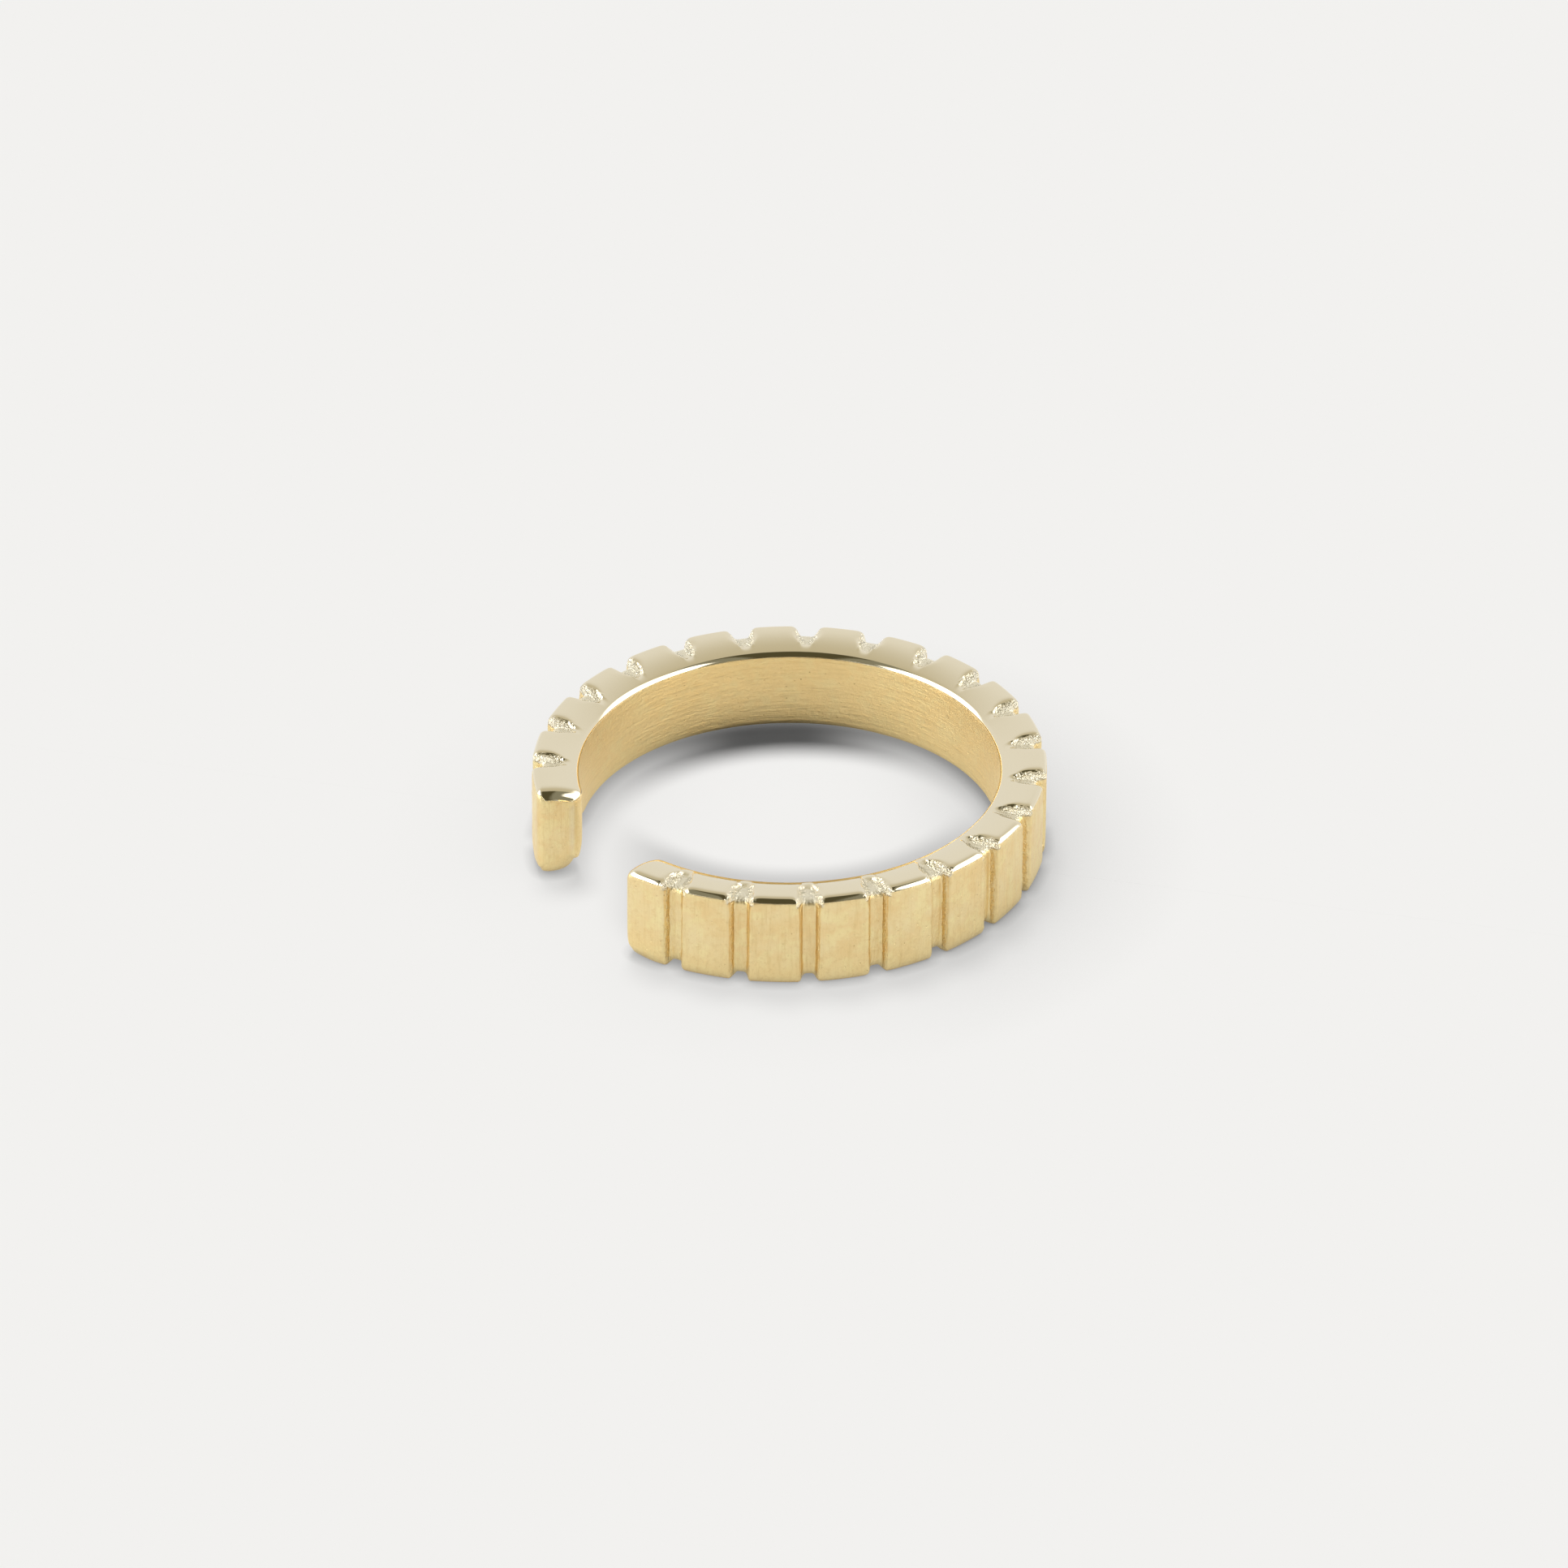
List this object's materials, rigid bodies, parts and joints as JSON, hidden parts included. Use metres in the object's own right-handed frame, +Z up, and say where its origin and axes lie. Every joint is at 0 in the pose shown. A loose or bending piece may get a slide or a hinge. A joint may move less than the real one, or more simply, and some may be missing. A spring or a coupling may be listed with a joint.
{
  "type": "ear cuff",
  "caption": "One-piece open ring that clips onto the rim of an ear, with plain pads parted by upright grooves round its outside and rounded ends.",
  "frame": {"origin": "under the middle of the cuff's box, on the surface that it lies on", "axes": "+Z up along the axis of the ring, +Y from the gap towards the closed back of the ring, +X across it"},
  "size_m": [0.0124, 0.0122, 0.0024],
  "materials": {
    "gold": "pale yellow gold, satin on the pads, the bore and the ends, polished on the top face and along its edges"
  },
  "bodies": {
    "root": {"cuff_band": "gold"}
  },
  "joints": []
}
